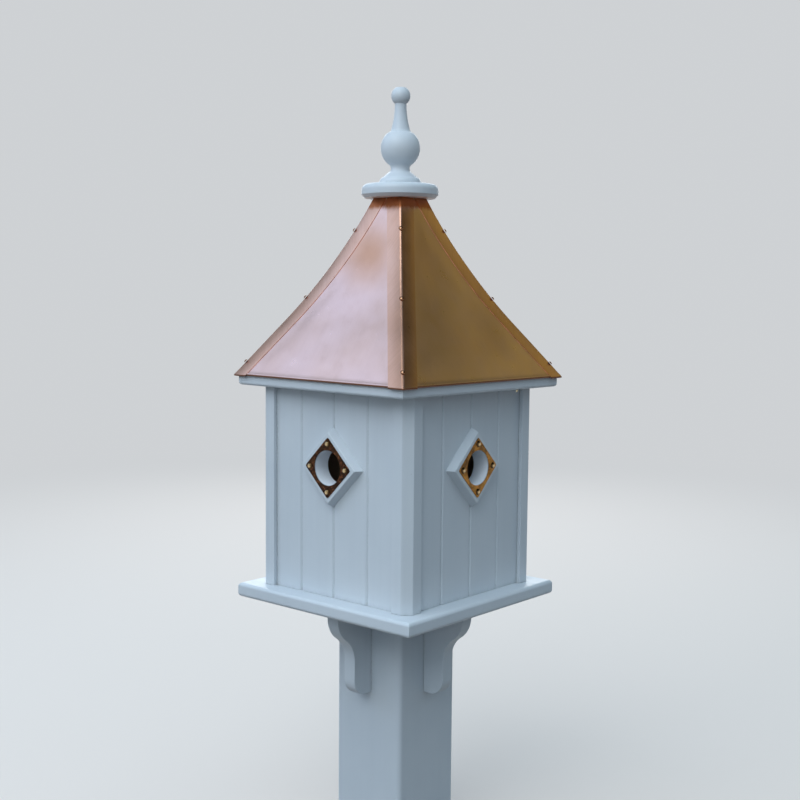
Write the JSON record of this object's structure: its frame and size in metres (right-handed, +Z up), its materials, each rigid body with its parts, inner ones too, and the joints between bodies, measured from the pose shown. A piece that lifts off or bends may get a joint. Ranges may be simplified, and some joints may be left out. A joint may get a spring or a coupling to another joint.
{
  "type": "multi-chamber birdhouse",
  "caption": "White post-mounted birdhouse with a diamond entrance on each side, a concave copper pyramid roof, a turned finial and ogee brackets on a square post sleeve",
  "frame": {"origin": "centre of the post sleeve's open foot", "axes": "+Z up along the post; -Y is the front face and +X the right face"},
  "size_m": [0.3304, 0.3304, 1.0117],
  "materials": {
    "white_paint": "white satin paint",
    "bare_wood": "matte",
    "copper_sheet": "satin",
    "copper_nails": "satin",
    "guard_bronze": "satin",
    "tack_brass": "polished",
    "screw_metal": "satin"
  },
  "bodies": {
    "root": {"post_sleeve": "white_paint", "base_board": "white_paint", "bracket_front": "white_paint", "bracket_right": "white_paint", "bracket_back": "white_paint", "bracket_left": "white_paint", "wall_front": "white_paint", "wall_right": "white_paint", "wall_back": "white_paint", "wall_left": "white_paint", "corner_post_front_right": "white_paint", "corner_post_back_right": "white_paint", "corner_post_back_left": "white_paint", "corner_post_front_left": "white_paint", "divider_upper_slot": "bare_wood", "divider_lower_slot": "bare_wood", "eave_screws": "screw_metal", "entrance_block_front": "white_paint", "entrance_block_right": "white_paint", "entrance_block_back": "white_paint", "entrance_block_left": "white_paint", "entrance_plate_front": "guard_bronze", "entrance_plate_right": "guard_bronze", "entrance_plate_back": "guard_bronze", "entrance_plate_left": "guard_bronze", "entrance_tacks_front": "tack_brass", "entrance_tacks_right": "tack_brass", "entrance_tacks_back": "tack_brass", "entrance_tacks_left": "tack_brass", "eave_board": "white_paint", "roof_cleat_front": "bare_wood", "roof_cleat_right": "bare_wood", "roof_cleat_back": "bare_wood", "roof_cleat_left": "bare_wood", "hip_rafter_front_right": "bare_wood", "hip_rafter_back_right": "bare_wood", "hip_rafter_back_left": "bare_wood", "hip_rafter_front_left": "bare_wood", "top_block": "bare_wood", "roof_panel_front": "copper_sheet", "roof_panel_right": "copper_sheet", "roof_panel_back": "copper_sheet", "roof_panel_left": "copper_sheet", "hip_cap_front_right": "copper_sheet", "hip_cap_back_right": "copper_sheet", "hip_cap_back_left": "copper_sheet", "hip_cap_front_left": "copper_sheet", "hip_nails_front_right": "copper_nails", "hip_nails_back_right": "copper_nails", "hip_nails_back_left": "copper_nails", "hip_nails_front_left": "copper_nails", "round_cap": "white_paint", "finial": "white_paint", "finial_dowel": "bare_wood"}
  },
  "joints": []
}
